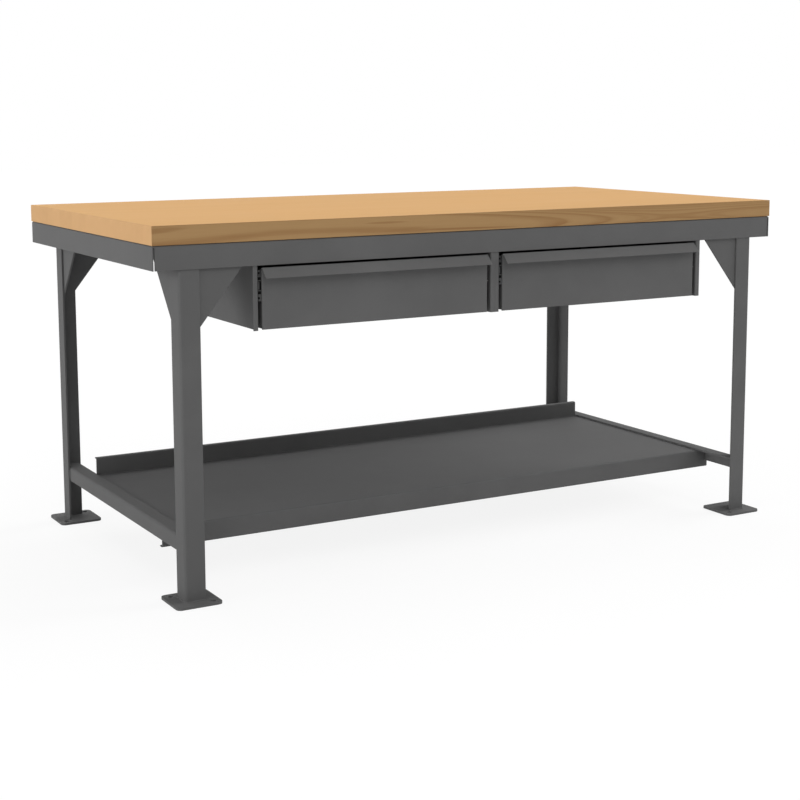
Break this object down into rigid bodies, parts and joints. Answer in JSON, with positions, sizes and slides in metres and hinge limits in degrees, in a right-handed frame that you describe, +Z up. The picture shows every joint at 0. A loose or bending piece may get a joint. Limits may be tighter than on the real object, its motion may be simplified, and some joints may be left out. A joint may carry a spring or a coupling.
{
  "type": "workbench",
  "caption": "Heavy-duty workbench: thick hardwood top on a steel pan and angle legs with gussets and foot plates, a lower shelf and drawers on telescopic slides under the top.",
  "frame": {"origin": "on the floor under the middle of the bench", "axes": "+X along the bench to its right end, +Y to its back, +Z up; the drawers open to -Y"},
  "size_m": [1.829, 0.9686, 0.883],
  "materials": {
    "hardwood": "sealed maple, satin",
    "grey_enamel": "baked grey enamel, satin",
    "zinc_plate": "dull zinc plate"
  },
  "bodies": {
    "frame": {"hardwood_top": "hardwood", "top_pan": "grey_enamel", "front_left_leg": "grey_enamel", "front_left_foot_plate": "grey_enamel", "front_left_face_gusset": "grey_enamel", "front_left_end_gusset": "grey_enamel", "front_right_leg": "grey_enamel", "front_right_foot_plate": "grey_enamel", "front_right_face_gusset": "grey_enamel", "front_right_end_gusset": "grey_enamel", "back_left_leg": "grey_enamel", "back_left_foot_plate": "grey_enamel", "back_left_face_gusset": "grey_enamel", "back_left_end_gusset": "grey_enamel", "back_right_leg": "grey_enamel", "back_right_foot_plate": "grey_enamel", "back_right_face_gusset": "grey_enamel", "back_right_end_gusset": "grey_enamel", "left_stretcher": "grey_enamel", "right_stretcher": "grey_enamel", "lower_shelf": "grey_enamel", "left_bay_left_panel": "grey_enamel", "left_bay_right_panel": "grey_enamel", "left_bay_back_panel": "grey_enamel", "right_bay_left_panel": "grey_enamel", "right_bay_right_panel": "grey_enamel", "right_bay_back_panel": "grey_enamel", "left_drawer_left_slide_outer": "zinc_plate", "left_drawer_right_slide_outer": "zinc_plate", "right_drawer_left_slide_outer": "zinc_plate", "right_drawer_right_slide_outer": "zinc_plate"},
    "left_drawer": {"left_drawer_front": "grey_enamel", "left_drawer_tray": "grey_enamel", "left_drawer_left_slide_inner": "zinc_plate", "left_drawer_right_slide_inner": "zinc_plate"},
    "left_runners": {"left_drawer_left_slide_runner": "zinc_plate", "left_drawer_right_slide_runner": "zinc_plate"},
    "right_drawer": {"right_drawer_front": "grey_enamel", "right_drawer_tray": "grey_enamel", "right_drawer_left_slide_inner": "zinc_plate", "right_drawer_right_slide_inner": "zinc_plate"},
    "right_runners": {"right_drawer_left_slide_runner": "zinc_plate", "right_drawer_right_slide_runner": "zinc_plate"}
  },
  "joints": [
    {"name": "left_drawer_slide", "type": "slide", "parent": "frame", "child": "left_drawer", "axis": [0, -1, 0], "range_m": [0, 0.48]},
    {"name": "left_runner_slide", "type": "slide", "parent": "frame", "child": "left_runners", "axis": [0, -1, 0], "range_m": [0, 0.24]},
    {"name": "right_drawer_slide", "type": "slide", "parent": "frame", "child": "right_drawer", "axis": [0, -1, 0], "range_m": [0, 0.48]},
    {"name": "right_runner_slide", "type": "slide", "parent": "frame", "child": "right_runners", "axis": [0, -1, 0], "range_m": [0, 0.24]}
  ],
  "couplings": [
    {"joint": "left_runner_slide", "follows": "left_drawer_slide", "ratio": 0.5},
    {"joint": "right_runner_slide", "follows": "right_drawer_slide", "ratio": 0.5}
  ]
}
